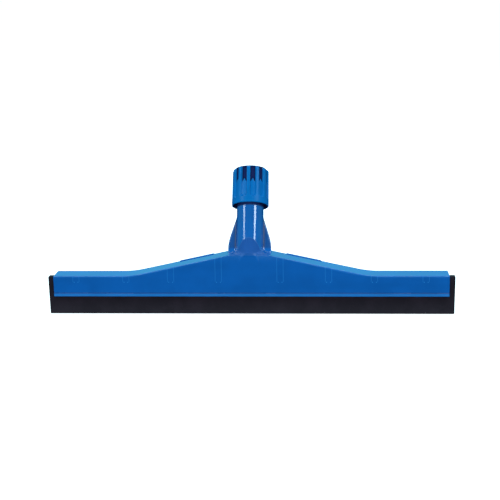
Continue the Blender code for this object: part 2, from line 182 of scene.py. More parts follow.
def ledge_height(x):
    """Height of the ledge's top face: level ends, a curved knee, a straight slope and a crown at the neck."""
    x = np.abs(x)
    tangent = KNEE_RADIUS * math.tan(SLOPE / 2)
    knee = KNEE_X + tangent
    curve = SHOULDER + KNEE_RADIUS - np.sqrt(np.maximum(KNEE_RADIUS**2 - (x - knee) ** 2, 0))
    slope = SHOULDER + (KNEE_X - x) * math.tan(SLOPE)
    crown_radius = CROWN_HALF / math.sin(SLOPE)
    crown_base = SHOULDER + (KNEE_X - CROWN_HALF) * math.tan(SLOPE) - crown_radius * math.cos(SLOPE)
    crown = crown_base + np.sqrt(np.maximum(crown_radius**2 - x**2, 0))
    height = np.where(x >= knee, SHOULDER, np.where(x > KNEE_X - tangent * math.cos(SLOPE), curve, slope))
    return np.where(x < CROWN_HALF, crown, height)


def above_ledge(x, z, rise=0.0):
    """Distance above the ledge's top face, measured square to it."""
    d = 0.5 * MM
    grade = (ledge_height(x + d) - ledge_height(x - d)) / (2 * d)
    return (z - ledge_height(x) - rise) / np.sqrt(1 + grade**2)


def neck_frame(x, y, z):
    """Across and along the neck: distance behind its axis, place along it and distance from it."""
    dy, dz = y - NECK_FOOT.y, z - NECK_FOOT.z
    back = dy * math.cos(LEAN) - dz * math.sin(LEAN)
    along = dy * math.sin(LEAN) + dz * math.cos(LEAN)
    return back, along, np.hypot(x, back)


def raised_border(x, z, proud, top):
    """The lip along the body's lower edge and the rims up its two ends."""
    lip = sharper(proud, z - BODY_BOTTOM - LIP_HEIGHT, 0.45 * MM)
    rim = sharper(proud, BODY_HALF - RIM_WIDTH - np.abs(x), 0.45 * MM)
    rim = sharper(rim, top, 1.9 * MM)
    return np.minimum(lip, rim)


def sink_marks(x, z, top):
    """Depth of the faint sink marks that the ribs behind leave in the front wall."""
    depth = np.zeros_like(x)
    for station in STATIONS:
        for side in (-1, 1):
            rib = np.abs(x) - station - side * RIB_SPACING / 2
            line = np.exp(-((rib / MARK_WIDTH) ** 2))
            depth += line * step(z, RIB_BOTTOM - 0.4 * MM, RIB_BOTTOM + 0.8 * MM) * step(-top, 0, 2 * MM)
    return depth * MARK_DEPTH


def frame_field(x, y, z):
    """The front wall, ledge, neck root and handle socket as the one moulding that they are."""
    top = above_ledge(x, z)
    wall = sharper(FRONT_FACE - y, top, 1.6 * MM)
    wall = wall + sink_marks(x, z, top) * step(-y, 5 * MM, 6 * MM)
    lip_face = LIP_FACE - y + LIP_LEAN * np.clip(z - BODY_BOTTOM - 0.5 * MM, 0, 4 * MM)
    border = raised_border(x, z, lip_face, top)
    block = joined(wall, border, 0.35 * MM)
    block = sharper(block, BODY_BOTTOM - z, 0.5 * MM)
    block = sharper(block, np.abs(x) - BODY_HALF, 0.6 * MM)

    back, along, radius = neck_frame(x, y, z)
    tube = np.maximum(radius - NECK_RADIUS, NECK_ROOT - along)
    shifts = [k * GUSSET_SMOOTHING for k in (-2, -1, 0, 1, 2)]
    half = sum(np.interp(along + shift, GUSSET_PLACES, GUSSET_HALVES) for shift in shifts) / len(shifts)
    gusset = sharper(np.abs(back) - GUSSET_DEPTH / 2, (np.abs(x) - half) * 0.93, 1.1 * MM)
    gusset = np.maximum(sharper(gusset, along - GUSSET_END, 1 * MM), NECK_ROOT - along)
    turned = np.degrees(np.arctan2(np.abs(x), -back))
    fillet = FOOT_FILLET + SIDE_FILLET * step(turned, SIDE_FROM, SIDE_TO)
    outer = joined(block, np.maximum(tube, FRONT_FACE - y), fillet)
    outer = joined(outer, gusset, 1.4 * MM)
    front = eased(FRONT_FACE - y, -NECK_RADIUS - back, FRONT_BLEND)
    outer = np.where(z > 30 * MM, np.maximum(outer, front), outer)
    behind = joined(np.maximum(tube, FRONT_FACE - y), gusset, 1.4 * MM)
    outer = np.minimum(sharper(outer, y - LEDGE_BACK, 0.3 * MM), behind)

    cavity = joined(y - FRONT_INNER, -(top + WALL), 0.6 * MM)
    solid = sharper(outer, cavity, 0.3 * MM)
    solid = sharper(solid, joined(BORE_RADIUS - radius, along - BORE_BOTTOM, 1 * MM), 0.5 * MM)
    solid = sharper(solid, along - NECK_MOUTH, 0.4 * MM)
    slot = np.maximum(np.abs(back) - KEYWAY_WIDTH / 2, KEYWAY_BOTTOM - along)
    return sharper(solid, -slot, 0.2 * MM)


def rear_field(x, y, z):
    """The rear clamp plate with its lip, its two raised edges and the notch for the neck."""
    tab = (step(np.abs(x), TAB_FROM, TAB_FROM + 2 * MM) - step(np.abs(x), TAB_TO - 2 * MM, TAB_TO)) * TAB_RISE
    top = above_ledge(x, z, tab)
    plate = sharper(y - REAR_FACE, REAR_INNER - y, 0.3 * MM)
    plate = sharper(plate, top, 0.6 * MM)
    lip = sharper(y - REAR_FACE - LIP_PROUD, z - BODY_BOTTOM - LIP_HEIGHT, 0.45 * MM)
    lip = sharper(lip, REAR_INNER - y, 0.3 * MM)
    plate = joined(plate, lip, 0.35 * MM)
    plate = sharper(plate, BODY_BOTTOM - z, 0.5 * MM)
    plate = sharper(plate, np.abs(x) - BODY_HALF, 0.6 * MM)
    floor = float(ledge_height(np.array(NOTCH_HALF))) - WALL - 2 * GAP
    notch = sharper(np.abs(x) - NOTCH_HALF, floor - z, 0.5 * MM)
    return sharper(plate, -notch, 0.3 * MM)


def strip_field(middle, top, end_top):
    """One foam strip: pinched where the body clamps it, full where it stands free."""

    def field(x, y, z):
        clamped = step(z, BODY_BOTTOM - 3 * MM, BODY_BOTTOM + 1 * MM)
        clamped = clamped * step(-np.abs(x), -221.5 * MM, -216 * MM)
        half = BLADE_DEPTH / 2 - 0.3 * MM * clamped
        reach = BLADE_EDGE_HALF + (BLADE_HALF - BLADE_EDGE_HALF) * np.clip(z / BLADE_WIDEST_FROM, 0, 1)
        sides = np.abs(y - middle) - half
        inside = sharper(z - top, np.abs(x) - END_FROM - 3 * MM, 0.5 * MM)
        end = sharper(z - end_top, END_FROM - np.abs(x), 0.8 * MM)
        solid = sharper(sides, np.abs(x) - reach, 1.3 * MM)
        solid = sharper(solid, np.minimum(inside, end), 1.0 * MM)
        solid = sharper(solid, -z, 0.7 * MM)
        gap = np.full_like(x, 1.0)
        for station in STATIONS:
            gap = np.minimum(gap, np.abs(np.abs(x) - station) - NOTCH_WIDTH / 2)
        return sharper(solid, -np.maximum(gap, NOTCH_BOTTOM - z), 0.4 * MM)

    return field


# ---- meshes from fields ----

SHARP_FROM = math.radians(40)
SETTLING_ROUNDS = 5
SLOPE_STEP = 0.02 * MM
LONGEST_MOVE = 0.6 * MM


def lines(*stretches):
    """Grid lines from (from, to, spacing) stretches, each starting where the last one ended."""
    places = []
    for low, high, spacing in stretches:
        count = max(1, round((high - low) / spacing))
        places += list(low + (high - low) * np.arange(count) / count)
    places.append(stretches[-1][1])
    return np.array(places)


def grid_points(xs, ys, ws, lift):
    """The grid's corners, with their heights raised to follow the ledge where lift says so."""
    x, y, z = np.meshgrid(xs, ys, ws, indexing="ij")
    if lift is not None:
        z = z + (ledge_height(x) - SHOULDER) * lift(z)
    return np.stack((x, y, z), -1)


def surface_net(grid, values):
    """Points and quads of the surface where the values change sign, with one point in each cell it cuts."""
    inside = values < 0
    ni, nj, nk = values.shape
    count = sum(
        inside[a : ni - 1 + a, b : nj - 1 + b, c : nk - 1 + c].astype(np.int8)
        for a in (0, 1)
        for b in (0, 1)
        for c in (0, 1)
    )
    active = (count > 0) & (count < 8)
    index = np.full(active.shape, -1)
    index[active] = np.arange(active.sum())
    total = np.zeros((active.sum(), 3))
    hits = np.zeros(active.sum())
    quads = []
    for axis in range(3):
        first = [slice(None)] * 3
        second = [slice(None)] * 3
        first[axis], second[axis] = slice(0, -1), slice(1, None)
        crossing = np.argwhere(inside[tuple(first)] != inside[tuple(second)])
        unit = np.zeros(3, int)
        unit[axis] = 1
        a, b = tuple(crossing.T), tuple((crossing + unit).T)
        share = (values[a] / (values[a] - values[b]))[:, None]
        point = grid[a] * (1 - share) + grid[b] * share
        u, v = [other for other in range(3) if other != axis]
        corners = []
        for du, dv in ((0, 0), (1, 0), (1, 1), (0, 1)):
            cell = crossing.copy()
            cell[:, u] -= du
            cell[:, v] -= dv
            ids = index[tuple(cell.T)]
            np.add.at(total, ids, point)
            np.add.at(hits, ids, 1)
            corners.append(ids)
        quad = np.stack(corners, 1)
        flip = inside[a] if axis != 1 else ~inside[a]
        quad[flip] = quad[flip][:, ::-1]
        quads.append(quad)
    return total / hits[:, None], np.concatenate(quads)[:, ::-1]


def settled(points, field):
    """The points, moved down the field's slope until they lie on its zero."""
    for _ in range(SETTLING_ROUNDS):
        value = field(*points.T)
        slope = np.zeros_like(points)
        for axis in range(3):
            shift = np.zeros(3)
            shift[axis] = SLOPE_STEP
            slope[:, axis] = (field(*(points + shift).T) - field(*(points - shift).T)) / (2 * SLOPE_STEP)
        square = np.maximum((slope**2).sum(1), 0.2)
        move = -slope * (value / square)[:, None]
        points = points + np.clip(move, -LONGEST_MOVE, LONGEST_MOVE)
    return points


def mesh_field(name, field, xs, ys, ws, lift=None):
    grid = grid_points(xs, ys, ws, lift)
    points, quads = surface_net(grid, field(*np.moveaxis(grid, -1, 0)))
    mesh = bpy.data.meshes.new(name)
    mesh.from_pydata(settled(points, field).tolist(), [], quads.tolist())
    return finished(name, mesh)


def finished(name, mesh):
    mesh.validate()
    mesh.shade_smooth()
    mesh.set_sharp_from_angle(angle=SHARP_FROM)
    made = bpy.data.objects.new(name, mesh)
    bpy.context.scene.collection.objects.link(made)
    return made


def from_bmesh(name, bm):
    bmesh.ops.recalc_face_normals(bm, faces=bm.faces)
    mesh = bpy.data.meshes.new(name)
    bm.to_mesh(mesh)
    bm.free()
    return finished(name, mesh)


def soft_boxes(name, corners, radius):
    """Boxes with rounded edges in one mesh, each from its low and high corner."""
    bm = bmesh.new()
    for low, high in corners:
        low, high = Vector(low), Vector(high)
        size = Matrix.Diagonal((high - low).to_4d())
        size[3][3] = 1
        bmesh.ops.create_cube(bm, size=1, matrix=Matrix.Translation((low + high) / 2) @ size)
    bmesh.ops.bevel(bm, geom=bm.edges[:], offset=radius, segments=3, profile=0.5, affect="EDGES")
    return from_bmesh(name, bm)


def follow_ledge(w):
    return step(w, 26 * MM, 39 * MM)


def body_x_lines():
    """Close together at the neck, the ends and the marks, wider between them."""
    beside = 6.5 * MM
    rim = BODY_HALF - 4 * MM
    right = [(0, 27 * MM, 0.85 * MM)]
    for station in STATIONS:
        low = max(station - beside, right[-1][1])
        if low > right[-1][1]:
            right.append((right[-1][1], low, 3.2 * MM))
        right.append((low, station + beside, 0.65 * MM))
    right.append((right[-1][1], rim, 3 * MM))
    right.append((rim, BODY_HALF + 1.4 * MM, 0.36 * MM))
    places = lines(*right)
    return np.concatenate((-places[:0:-1], places))


def make_frame_shell():
    ys = lines(
        (LIP_FACE - 0.5 * MM, FRONT_INNER + 0.8 * MM, 0.36 * MM),
        (FRONT_INNER + 0.8 * MM, LEDGE_BACK - 1.2 * MM, 1.3 * MM),
        (LEDGE_BACK - 1.2 * MM, LEDGE_BACK + 0.7 * MM, 0.32 * MM),
        (LEDGE_BACK + 0.7 * MM, 59 * MM, 0.9 * MM),
    )
    ws = lines(
        (BODY_BOTTOM - 0.5 * MM, BODY_BOTTOM + LIP_HEIGHT + 0.8 * MM, 0.36 * MM),
        (BODY_BOTTOM + LIP_HEIGHT + 0.8 * MM, 40.4 * MM, 1.6 * MM),
        (40.4 * MM, 44.3 * MM, 0.36 * MM),
        (44.3 * MM, 120 * MM, 0.85 * MM),
    )
    return mesh_field("frame_shell", frame_field, body_x_lines(), ys, ws, follow_ledge)


def make_rear_shell():
    ys = lines((REAR_INNER - 0.5 * MM, REAR_FACE + LIP_PROUD + 0.5 * MM, 0.36 * MM))
    ws = lines(
        (BODY_BOTTOM - 0.5 * MM, BODY_BOTTOM + LIP_HEIGHT + 0.8 * MM, 0.36 * MM),
        (BODY_BOTTOM + LIP_HEIGHT + 0.8 * MM, 37 * MM, 1.8 * MM),
        (37 * MM, 45.2 * MM, 0.4 * MM),
    )
    xs = lines(
        (0, 14 * MM, 2 * MM),
        (14 * MM, 20 * MM, 0.4 * MM),
        (20 * MM, 38 * MM, 2 * MM),
        (38 * MM, 43 * MM, 0.5 * MM),
        (43 * MM, 76 * MM, 2.5 * MM),
        (76 * MM, 82 * MM, 0.5 * MM),
        (82 * MM, 215 * MM, 3.2 * MM),
        (215 * MM, 219.9 * MM, 0.36 * MM),
    )
    return mesh_field("rear_clamp_shell", rear_field, np.concatenate((-xs[:0:-1], xs)), ys, ws, follow_ledge)


def make_strip(name, middle, top, end_top):
    half = BLADE_DEPTH / 2
    ys = lines(
        (middle - half - 0.5 * MM, middle - half + 1.6 * MM, 0.42 * MM),
        (middle - half + 1.6 * MM, middle + half - 1.6 * MM, 1.6 * MM),
        (middle + half - 1.6 * MM, middle + half + 0.5 * MM, 0.42 * MM),
    )
    zs = lines(
        (-0.5 * MM, 1.5 * MM, 0.36 * MM),
        (1.5 * MM, 16 * MM, 2.4 * MM),
        (16 * MM, 23 * MM, 1 * MM),
        (23 * MM, 34 * MM, 2.2 * MM),
        (34 * MM, 43.4 * MM, 0.42 * MM),
    )
    right = [(0, STATIONS[0] - 6 * MM, 4 * MM)]
    for station in STATIONS:
        if station - 6 * MM > right[-1][1]:
            right.append((right[-1][1], station - 6 * MM, 5 * MM))
        right.append((station - 6 * MM, station - 3.8 * MM, 0.42 * MM))
        right.append((station - 3.8 * MM, station + 3.8 * MM, 2.5 * MM))
        right.append((station + 3.8 * MM, station + 6 * MM, 0.42 * MM))
    right.append((right[-1][1], 214 * MM, 4 * MM))
    right.append((214 * MM, 217.5 * MM, 1 * MM))
    right.append((217.5 * MM, 225.8 * MM, 0.42 * MM))
    xs = lines(*right)
    field = strip_field(middle, top, end_top)
    return mesh_field(name, field, np.concatenate((-xs[:0:-1], xs)), ys, zs)


# ---- turned and fitted pieces ----


def on_neck(points):
    """Points from the neck's own frame, as the assembled object has them."""
    turn = np.array(NECK.to_3x3())
    return points @ turn.T + np.array(NECK_FOOT)


def swept(name, rows, closed_round=True):
    """A closed solid from rows of rings: each row is (steps, 3), and the last row joins the first."""
    rows = [np.asarray(row, float) for row in rows]
    steps = len(rows[0])
    points = on_neck(np.concatenate(rows))
    quads = []
    last = steps if closed_round else steps - 1
    for r in range(len(rows)):
        below, above = r * steps, ((r + 1) % len(rows)) * steps
        for c in range(last):
            d = (c + 1) % steps
            quads.append((below + c, below + d, above + d, above + c))
    bm = bmesh.new()
    made = [bm.verts.new(p) for p in points]
    for quad in quads:
        bm.faces.new([made[q] for q in quad])
    if not closed_round:
        for c in (0, steps - 1):
            bm.faces.new([made[r * steps + c] for r in range(len(rows))])
        caps = [f for f in bm.faces if len(f.verts) > 4]
        bmesh.ops.triangulate(bm, faces=caps)
    return from_bmesh(name, bm)


# Across a thread ridge, from side to side: share of its half-width and share of its height.
THREAD_SECTION = ((-1, 0.0), (-0.62, 0.62), (-0.42, 0.93), (0, 1.0), (0.42, 0.93), (0.62, 0.62), (1, 0.0))


def helix(name, root, crest, start, turns, thickness):
    """A thread ridge with a rounded crest that rises out of the wall at both ends."""
    steps = int(THREAD_STEPS * turns)
    points = []
    for n in range(steps + 1):
        angle = 2 * math.pi * turns * n / steps
        rise = min(1, min(n, steps - n) / THREAD_RISE)
        for aside, high in THREAD_SECTION:
            radius = root + (crest - root) * high * max(rise, 0.02)
            place = start + PITCH * angle / (2 * math.pi) + aside * thickness / 2
            points.append((radius * math.cos(angle), radius * math.sin(angle), place))
    width = len(THREAD_SECTION)
    world = on_neck(np.array(points))
    bm = bmesh.new()
    made = [bm.verts.new(p) for p in world]
    for n in range(steps):
        here, there = made[n * width : (n + 1) * width], made[(n + 1) * width : (n + 2) * width]
        for m in range(width):
            o = (m + 1) % width
            bm.faces.new((here[m], here[o], there[o], there[m]))
    for n in (0, steps):
        bm.faces.new([made[n * width + m] for m in range(width)])
    return from_bmesh(name, bm)


def rounded(profile, radius, steps=3):
    """The closed profile with each corner cut by an arc of at most that radius."""
    made = []
    count = len(profile)
    for n in range(count):
        before, here, after = (np.array(profile[(n + d) % count]) for d in (-1, 0, 1))
        a, b = before - here, after - here
        reach = min(radius, np.linalg.norm(a) * 0.45, np.linalg.norm(b) * 0.45)
        start = here + a / np.linalg.norm(a) * reach
        end = here + b / np.linalg.norm(b) * reach
        for m in range(steps + 1):
            t = m / steps
            made.append(tuple(start * (1 - t) ** 2 + here * 2 * t * (1 - t) + end * t * t))
    return made


def collar_radius(angle, place):
    """Outer radius of the collar: a plain skirt, ribs, shallow flutes between them and deep pockets above."""
    crown = np.interp(place, (SKIRT_TOP, COLLAR_CROWN), (COLLAR_RADIUS, COLLAR_TOP_RADIUS))
    pitch = 2 * math.pi / RIB_COUNT
    offset = (angle + math.pi / 2 - RIB_OFFSET + pitch / 2) % pitch - pitch / 2
    across = np.abs(np.abs(offset) - pitch / 2) * COLLAR_RADIUS
    half = (pitch * COLLAR_RADIUS - GRIP_RIB_WIDTH) / 2
    u, v = across - half + FLUTE_CORNER, FLUTE_BOTTOM - place + FLUTE_CORNER
    outside = np.hypot(np.maximum(u, 0), np.maximum(v, 0)) + np.minimum(np.maximum(u, v), 0) - FLUTE_CORNER
    shallow = step(-outside, 0, 1.3 * MM) * FLUTE_DEPTH
    pocket_edge = across - half + 0.5 * MM
    foot = POCKET_FOOT + POCKET_PEAK * (1 - np.minimum(across / half, 1))
    deep = step(-pocket_edge, 0, 0.8 * MM) * step(place, foot, foot + 2.5 * MM) * POCKET_DEPTH
    return crown - shallow - deep


# Radius and place of each ring down the collar's inside, from its mouth to its skirt, in millimetres.
COLLAR_INSIDE = (
    (13.05, 91.42),
    (12.92, 91.15),
    (12.9, 90.0),
    (12.9, 88.2),
    (12.95, 87.6),
    (13.55, 83.0),
    (14.15, 78.4),
    (14.4, 77.4),
    (15.6, 74.4),
    (16.45, 72.3),
    (16.6, 71.6),
    (16.6, 66.0),
    (16.6, 60.0),
    (16.6, 54.5),
    (16.7, 53.2),
    (16.95, 53.0),
    (18.7, 53.0),
    (19.0, 52.7),
    (19.0, 51.0),
    (19.0, 49.3),
    (19.12, 49.05),
    (19.3, 49.0),
)
# The same for the raised ring round the mouth, from outside to inside.
COLLAR_RIM = ((17.5, 90.7), (17.5, 91.1), (17.42, 91.35), (17.2, 91.5), (15.2, 91.5), (13.35, 91.5))


def make_collar():
    columns = RIB_COUNT * RIB_COLUMNS
    angles = 2 * math.pi * np.arange(columns) / columns
    outside = lines(
        (49.5 * MM, 54 * MM, 1.1 * MM),
        (54 * MM, 60 * MM, 0.5 * MM),
        (60 * MM, 66 * MM, 1.5 * MM),
        (66 * MM, 86 * MM, 0.65 * MM),
        (86 * MM, COLLAR_CROWN, 1.2 * MM),
    )
    rows = []

    def ring(radius, place):
        radius = np.broadcast_to(radius, angles.shape)
        return np.stack((radius * np.cos(angles), radius * np.sin(angles), np.full(columns, place)), 1)

    for rise, inset in ((0.0, 0.55), (0.05, 0.3), (0.2, 0.1)):
        rows.append(ring(COLLAR_RADIUS - inset * MM, COLLAR_BOTTOM + rise * MM))
    for place in outside:
        rows.append(ring(collar_radius(angles, place), place))
    for inset, rise in ((0.12, 0.35), (0.45, 0.85), (0.95, 1.35), (1.5, 1.75)):
        place = COLLAR_CROWN + rise * MM
        rows.append(ring(np.minimum(collar_radius(angles, place), COLLAR_TOP_RADIUS - inset * MM), place))
    pockets = np.minimum(collar_radius(angles, COLLAR_CROWN), 18.0 * MM)
    for share, place in ((0.5, 90.3), (1.0, 90.35)):
        rows.append(ring(pockets * (1 - share) + 17.45 * MM * share, place * MM))
    for radius, place in COLLAR_RIM + COLLAR_INSIDE:
        rows.append(ring(radius * MM, place * MM))
    return swept("collar_shell", rows)


def make_grip_ring():
    slope = (SEAT_RADIUS - MOUTH_RADIUS) / (SEAT_TOP - SEAT_BOTTOM)

    def cone(place):
        return SEAT_RADIUS - GAP - (place - SEAT_BOTTOM) * slope

    profile = [
        (RING_BORE, RING_TOP),
        (cone(RING_TOP), RING_TOP),
        (cone(SEAT_BOTTOM), SEAT_BOTTOM - GAP),
        (cone(SEAT_BOTTOM) + GAP, RING_BOTTOM),
        (RING_BORE, RING_BOTTOM),
    ]
    opening = RING_SLIT / 2 / RING_BORE
    angles = np.linspace(-math.pi / 2 + opening, 1.5 * math.pi - opening, 97)
    rows = []
    for radius, place in rounded(profile, 0.4 * MM):
        places = np.full_like(angles, place)
        rows.append(np.stack((radius * np.cos(angles), radius * np.sin(angles), places), 1))
    return swept("grip_ring_shell", rows, closed_round=False)


def make_ring_keys():
    corners = []
    for low, high in ((-KEY_OUTER, -KEY_INNER), (KEY_INNER, KEY_OUTER)):
        corners.append(((low, -KEY_WIDTH / 2, KEY_BOTTOM), (high, KEY_WIDTH / 2, KEY_TOP)))
    keys = soft_boxes("grip_ring_keys", corners, 0.25 * MM)
    keys.data.transform(NECK)
    return keys


def snap_ribs():
    corners = []
    for station in STATIONS:
        for x in (-station, station):
            top = float(ledge_height(np.array(x))) - WALL / 2
            for side in (-1, 1):
                rib = x + side * RIB_SPACING / 2
                low = (rib - RIB_WIDTH / 2, FRONT_INNER - WALL / 5, RIB_BOTTOM)
                corners.append((low, (rib + RIB_WIDTH / 2, LEDGE_BACK - GAP, top)))
            front = FRONT_INNER + 3 * GAP + HOOK_DEPTH
            low = (x - RIB_SPACING / 2, front, TONGUE_TOP + GAP)
            corners.append((low, (x + RIB_SPACING / 2, front + CATCH_DEPTH, top)))
    return soft_boxes("frame_snap_ribs", corners, 0.2 * MM)


def snap_tongues():
    corners = []
    half = TONGUE_WIDTH / 2
    tip = FRONT_INNER + 2 * GAP
    for station in STATIONS:
        for x in (-station, station):
            corners.append(((x - half, tip, TONGUE_BOTTOM), (x + half, REAR_INNER + WALL / 5, TONGUE_TOP)))
            corners.append(((x - half, tip, TONGUE_TOP - GAP), (x + half, tip + HOOK_DEPTH, HOOK_TOP)))
    return soft_boxes("rear_snap_tongues", corners, 0.25 * MM)


def gate_nub():
    """The small scar that the mould's gate leaves in the middle of the lip."""
    bm = bmesh.new()
    bmesh.ops.create_uvsphere(bm, u_segments=24, v_segments=14, radius=1)
    shape = Matrix.Diagonal((1.5 * MM, 0.55 * MM, 0.75 * MM, 1))
    middle = Vector((0.3 * MM, LIP_FACE + 0.56 * MM, BODY_BOTTOM + 0.9 * MM))
    bmesh.ops.transform(bm, matrix=Matrix.Translation(middle) @ shape, verts=bm.verts)
    return from_bmesh("gate_nub", bm)


# ---- materials ----


class Nodes:
    """Short hand for a material's node tree."""

    def __init__(self, name):
        self.material = bpy.data.materials.new(name)
        self.material.use_nodes = True
        self.tree = self.material.node_tree
        self.shader = self.tree.nodes["Principled BSDF"]
        self.place = self.tree.nodes.new("ShaderNodeTexCoord").outputs["Object"]

    def link(self, source, target):
        self.tree.links.new(source, target)

    def noise(self, scale, detail=3.0, roughness=0.5, stretch=None):
        node = self.tree.nodes.new("ShaderNodeTexNoise")
        node.inputs["Scale"].default_value = scale
        node.inputs["Detail"].default_value = detail
        node.inputs["Roughness"].default_value = roughness
        self.link(self.stretched(stretch), node.inputs["Vector"])
        return node.outputs["Fac"]

    def stretched(self, stretch):
        if stretch is None:
            return self.place
        node = self.tree.nodes.new("ShaderNodeMapping")
        node.inputs["Scale"].default_value = stretch
        self.link(self.place, node.inputs["Vector"])
        return node.outputs["Vector"]

    def cells(self, scale):
        node = self.tree.nodes.new("ShaderNodeTexVoronoi")
        node.inputs["Scale"].default_value = scale
        self.link(self.place, node.inputs["Vector"])
        return node.outputs["Distance"]

    def coordinate(self, axis):
        split = self.tree.nodes.new("ShaderNodeSeparateXYZ")
        self.link(self.place, split.inputs[0])
        return split.outputs[axis]

    def on_neck(self):
        """Distance from the neck's axis and place along it, in metres."""
        node = self.tree.nodes.new("ShaderNodeMapping")
        node.vector_type = "TEXTURE"
        node.inputs["Location"].default_value = NECK_FOOT
        node.inputs["Rotation"].default_value = (-LEAN, 0, 0)
        self.link(self.place, node.inputs["Vector"])
        flat = self.tree.nodes.new("ShaderNodeVectorMath")
        flat.operation = "MULTIPLY"
        flat.inputs[1].default_value = (1, 1, 0)
        self.link(node.outputs["Vector"], flat.inputs[0])
        length = self.tree.nodes.new("ShaderNodeVectorMath")
        length.operation = "LENGTH"
        self.link(flat.outputs["Vector"], length.inputs[0])
        split = self.tree.nodes.new("ShaderNodeSeparateXYZ")
        self.link(node.outputs["Vector"], split.inputs[0])
        return length.outputs["Value"], split.outputs["Z"]

    def between(self, value, from_low, from_high, to_low, to_high):
        node = self.tree.nodes.new("ShaderNodeMapRange")
        node.interpolation_type = "SMOOTHSTEP"
        self.link(value, node.inputs["Value"])
        node.inputs["From Min"].default_value = from_low
        node.inputs["From Max"].default_value = from_high
        node.inputs["To Min"].default_value = to_low
        node.inputs["To Max"].default_value = to_high
        return node.outputs["Result"]

    def mixed(self, share, low, high):
        node = self.tree.nodes.new("ShaderNodeMix")
        node.data_type = "RGBA"
        self.link(share, node.inputs["Factor"])
        for socket, colour in ((node.inputs[6], low), (node.inputs[7], high)):
            if isinstance(colour, tuple):
                socket.default_value = (*colour, 1)
            else:
                self.link(colour, socket)
        return node.outputs[2]

    def math(self, kind, a, b):
        node = self.tree.nodes.new("ShaderNodeMath")
        node.operation = kind
        for socket, value in zip(node.inputs, (a, b)):
            if isinstance(value, (int, float)):
                socket.default_value = value
            else:
                self.link(value, socket)
        return node.outputs[0]

    def bump(self, height, strength, distance):
        node = self.tree.nodes.new("ShaderNodeBump")
        node.inputs["Strength"].default_value = strength
        node.inputs["Distance"].default_value = distance
        self.link(height, node.inputs["Height"])
        self.link(node.outputs["Normal"], self.shader.inputs["Normal"])

    def edges(self):
        """About 1 on worn outer edges, 0 elsewhere, from the mesh's own curvature."""
        geometry = self.tree.nodes.new("ShaderNodeNewGeometry")
        return self.between(geometry.outputs["Pointiness"], 0.52, 0.60, 0.0, 1.0)


# Painted shade: a darker colour in the collar's pockets and skirt, on the tube under the collar, beside the
# tube and in the crease above the lip.
PAINTED_SHADE = (0.012, 0.022, 0.110)
# Painted shade: a darker colour on the neck's rougher foot, so the strip lights scattered there read as dark
# as the gloss around it.
FOOT_PAINTED_SHADE = (0.002, 0.050, 0.260)
# Painted light: the paler lip, and painted highlights on the lines and dots over the ribs.
PAINTED_LIGHT = (0.030, 0.270, 0.720)
LIP_SEEN_TOP = 23.9 * MM  # where the lip's painted light ends and the painted shade in the crease above it begins
DOT_OFFSET = 2.1 * MM


def collar_painted_shade(n):
    """1 in the collar's pockets and inside its skirt, where the colour is darkened as painted shade."""
    distance, place = n.on_neck()
    pocket = n.between(distance, 17.2 * MM, 18.5 * MM, 1.0, 0.0)
    inside = n.between(distance, 19.3 * MM, 19.7 * MM, 1.0, 0.0)
    skirt = n.math("MULTIPLY", inside, n.between(place, 53 * MM, 54 * MM, 1.0, 0.0))
    return n.math("MAXIMUM", pocket, skirt)


def body_painted_shade(n):
    """1 where the collar covers the tube, and partly on the gussets and in the crease above the lip: painted
    shade under the collar, beside the tube and in the crease.
    """
    distance, place = n.on_neck()
    covered = n.between(place, 46.0 * MM, 47.8 * MM, 0.0, 1.0)
    covered = n.math("MULTIPLY", covered, n.between(distance, 22 * MM, 23 * MM, 1.0, 0.0))
    corner = n.between(distance, 15.2 * MM, 18.5 * MM, 0.95, 0.45)
    corner = n.math("MULTIPLY", corner, n.between(distance, 15.0 * MM, 15.2 * MM, 0.0, 1.0))
    corner = n.math("MULTIPLY", corner, n.between(place, -1 * MM, 2 * MM, 0.0, 1.0))
    high = n.coordinate("Z")
    crease = n.between(high, LIP_SEEN_TOP, LIP_SEEN_TOP + 0.3 * MM, 0.0, 0.5)
    crease = n.math("MULTIPLY", crease, n.between(high, 25.0 * MM, 25.5 * MM, 1.0, 0.0))
    crease = n.math("MULTIPLY", crease, n.between(n.coordinate("Y"), -6.0 * MM, -5.5 * MM, 1.0, 0.0))
    return n.math("MAXIMUM", n.math("MAXIMUM", covered, corner), crease)


def rib_painted_light(n):
    """Painted light: the paler lip, and painted highlights along the lines with dots at their ends that the
    ribs behind leave in the front.
    """
    across = n.math("ABSOLUTE", n.coordinate("X"), 0)
    high = n.coordinate("Z")
    ribs = n.between(high, RIB_BOTTOM, RIB_BOTTOM + 1.5 * MM, 0.0, 0.35)
    off_end = n.math("ABSOLUTE", n.math("SUBTRACT", high, RIB_BOTTOM + 0.4 * MM), 0)
    ends = n.between(off_end, 0.3 * MM, 0.6 * MM, 1.0, 0.0)
    marks = None
    for station in STATIONS:
        aside = n.math("ABSOLUTE", n.math("SUBTRACT", across, station), 0)
        for offset, reach in ((RIB_SPACING / 2, ribs), (DOT_OFFSET, ends)):
            off = n.math("ABSOLUTE", n.math("SUBTRACT", aside, offset), 0)
            painted_mark = n.math("MULTIPLY", n.between(off, 0.2 * MM, 0.55 * MM, 1.0, 0.0), reach)
            marks = painted_mark if marks is None else n.math("MAXIMUM", marks, painted_mark)
    marks = n.math("MAXIMUM", marks, n.between(high, LIP_SEEN_TOP - 0.4 * MM, LIP_SEEN_TOP, 0.28, 0.0))
    return n.math("MULTIPLY", marks, n.between(n.coordinate("Y"), -6.2 * MM, -5.8 * MM, 1.0, 0.0))


def neck_foot(n):
    """1 on the neck's foot, which ends in an arch on the tube's front; there the finish is rougher and the
    colour is darkened as painted shade.
    """
    front = n.between(n.coordinate("Y"), 0.8 * MM, 1.6 * MM, 1.0, 0.0)
    return n.math("MULTIPLY", front, n.between(n.coordinate("Z"), 65 * MM, 72 * MM, 0.0, 1.0))


